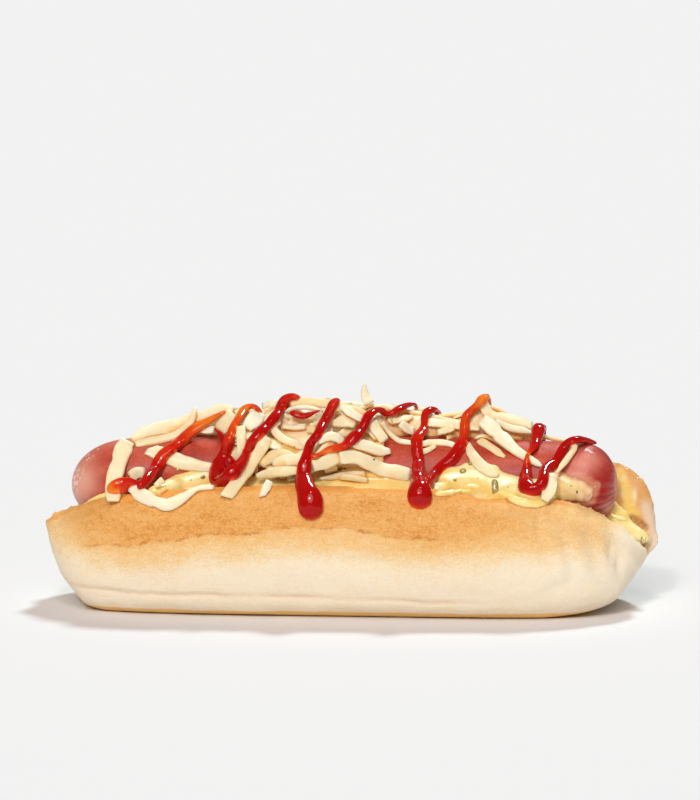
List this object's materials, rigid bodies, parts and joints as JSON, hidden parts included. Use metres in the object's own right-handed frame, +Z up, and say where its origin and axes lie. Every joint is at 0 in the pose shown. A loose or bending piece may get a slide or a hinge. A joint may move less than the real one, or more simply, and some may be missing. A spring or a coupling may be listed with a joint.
{
  "type": "hot dog",
  "caption": "Frankfurter in a split white roll, with mustard relish sauce in the split, a heap of shredded cheese over the sausage and a zigzag of ketchup on top.",
  "frame": {"origin": "centre of the roll's flat base, on the surface the hot dog rests on", "axes": "+X along the roll towards its open-mouthed right end, +Y to the back, +Z up through the split"},
  "size_m": [0.1735, 0.0578, 0.0593],
  "materials": {
    "bread": "soft baked crust, golden on top and cream on the side, matt",
    "sausage": "dusty pink-red cooked casing with a moist sheen and puckered ends",
    "sauce": "glossy pale yellow mustard relish sauce with small dark green pickle bits",
    "cheese": "ivory shreds with a faint waxy sheen",
    "ketchup": "deep red, wet and glossy, orange where it is thin"
  },
  "bodies": {
    "root": {"bun": "bread", "sausage": "sausage", "relish_sauce": "sauce", "shredded_cheese": "cheese", "ketchup": "ketchup"}
  },
  "joints": []
}
